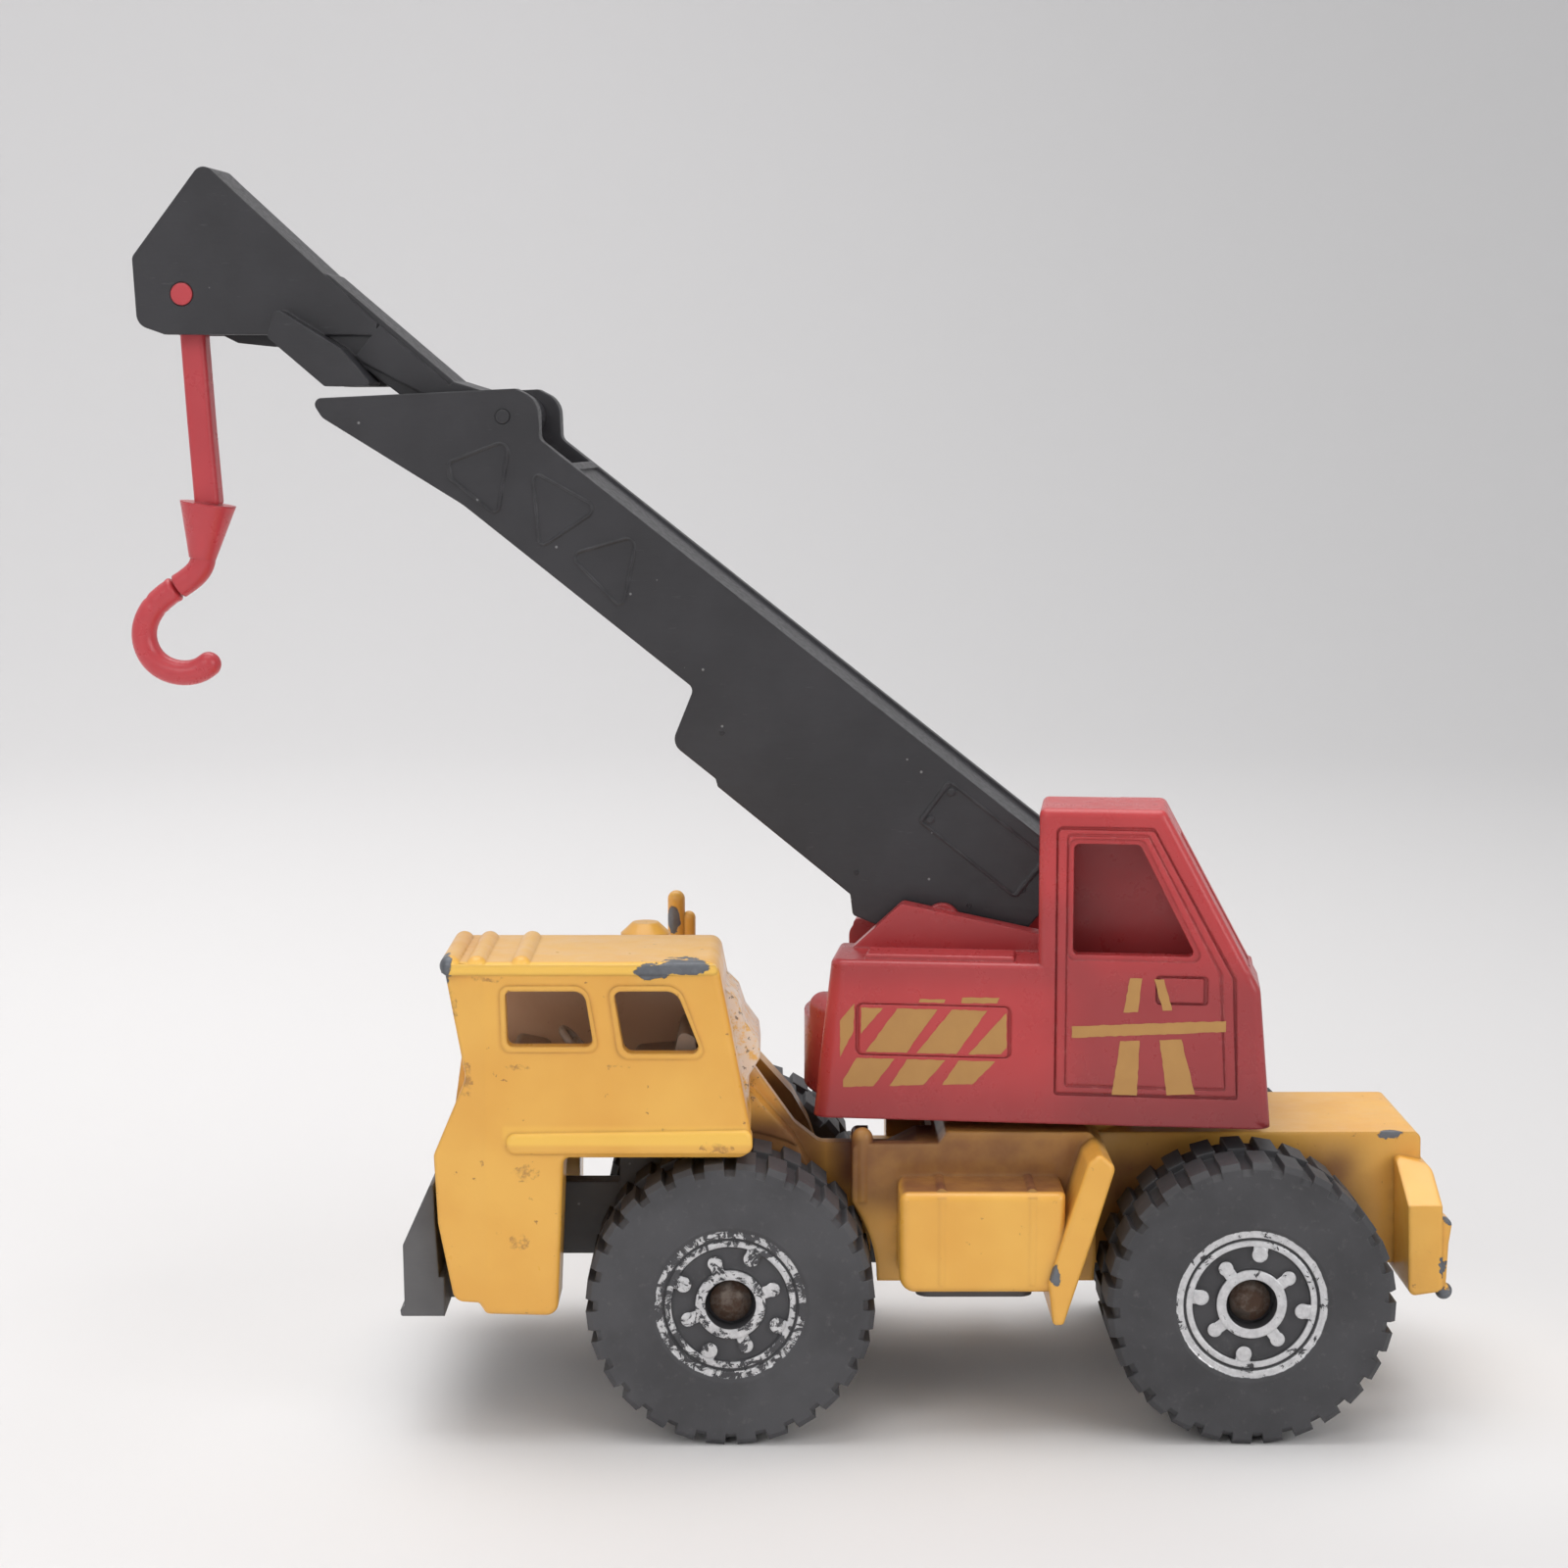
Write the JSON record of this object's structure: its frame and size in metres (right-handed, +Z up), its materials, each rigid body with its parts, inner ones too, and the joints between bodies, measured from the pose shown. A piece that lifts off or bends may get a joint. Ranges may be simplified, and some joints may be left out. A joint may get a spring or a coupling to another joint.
{
  "type": "toy mobile crane",
  "caption": "Pocket-size toy mobile crane: wheeled carrier with a half-width cab, slewing house, luffing boom, fold-over jib and a swinging one-piece hook.",
  "frame": {"origin": "centre of the bounding box's footprint, on the ground under the wheels", "axes": "+X towards the carrier's rear (its front faces -X), +Y towards the carrier's right side, +Z up"},
  "size_m": [0.0802, 0.0284, 0.0738],
  "materials": {
    "yellow_paint": "gloss enamel over die-cast zinc, worn at the edges",
    "bare_zinc": "dull cast zinc",
    "black_plastic": "satin black moulding",
    "boom_plastic": "satin black moulding",
    "wheel_plastic": "matt black moulding",
    "red_plastic": "glossy, slightly translucent moulding",
    "axle_steel": "plain steel wire, rusted at the heads"
  },
  "bodies": {
    "carrier": {"truck_body": "yellow_paint", "base_plate": "black_plastic", "cab_interior": "black_plastic", "front_axle": "axle_steel", "rear_axle": "axle_steel", "base_rivet_front": "bare_zinc", "base_rivet_rear": "bare_zinc"},
    "superstructure": {"crane_house": "red_plastic", "slew_retainer": "black_plastic"},
    "boom": {"main_boom": "boom_plastic", "jib_pin": "boom_plastic"},
    "jib": {"jib": "boom_plastic"},
    "hook": {"hook": "red_plastic"},
    "wheel_front_left": {"wheel_front_left": "wheel_plastic"},
    "wheel_front_right": {"wheel_front_right": "wheel_plastic"},
    "wheel_rear_left": {"wheel_rear_left": "wheel_plastic"},
    "wheel_rear_right": {"wheel_rear_right": "wheel_plastic"}
  },
  "joints": [
    {"name": "slew", "type": "hinge", "parent": "carrier", "child": "superstructure", "pos_m": [0.01633, 0.00015, 0.0178], "axis": [0, 0, 1], "continuous": true},
    {"name": "luff", "type": "hinge", "parent": "superstructure", "child": "boom", "pos_m": [0.01093, 0.00172, 0.02864], "axis": [0.1219, 0.9925, 0], "range_deg": [-22, 22]},
    {"name": "jib_fold", "type": "hinge", "parent": "boom", "child": "jib", "pos_m": [-0.0155, 0.00496, 0.05871], "axis": [0.1219, 0.9925, 0], "range_deg": [-2.4, 168]},
    {"name": "hook_swing", "type": "hinge", "parent": "jib", "child": "hook", "pos_m": [-0.03563, 0.00744, 0.06613], "axis": [0.1219, 0.9925, 0], "range_deg": [-40, 40]},
    {"name": "wheel_front_left_spin", "type": "hinge", "parent": "carrier", "child": "wheel_front_left", "pos_m": [-0.00219, -0.01035, 0.0083], "axis": [0, 1, 0], "continuous": true},
    {"name": "wheel_front_right_spin", "type": "hinge", "parent": "carrier", "child": "wheel_front_right", "pos_m": [-0.00219, 0.01065, 0.0083], "axis": [0, 1, 0], "continuous": true},
    {"name": "wheel_rear_left_spin", "type": "hinge", "parent": "carrier", "child": "wheel_rear_left", "pos_m": [0.02765, -0.01035, 0.0083], "axis": [0, 1, 0], "continuous": true},
    {"name": "wheel_rear_right_spin", "type": "hinge", "parent": "carrier", "child": "wheel_rear_right", "pos_m": [0.02765, 0.01065, 0.0083], "axis": [0, 1, 0], "continuous": true}
  ]
}
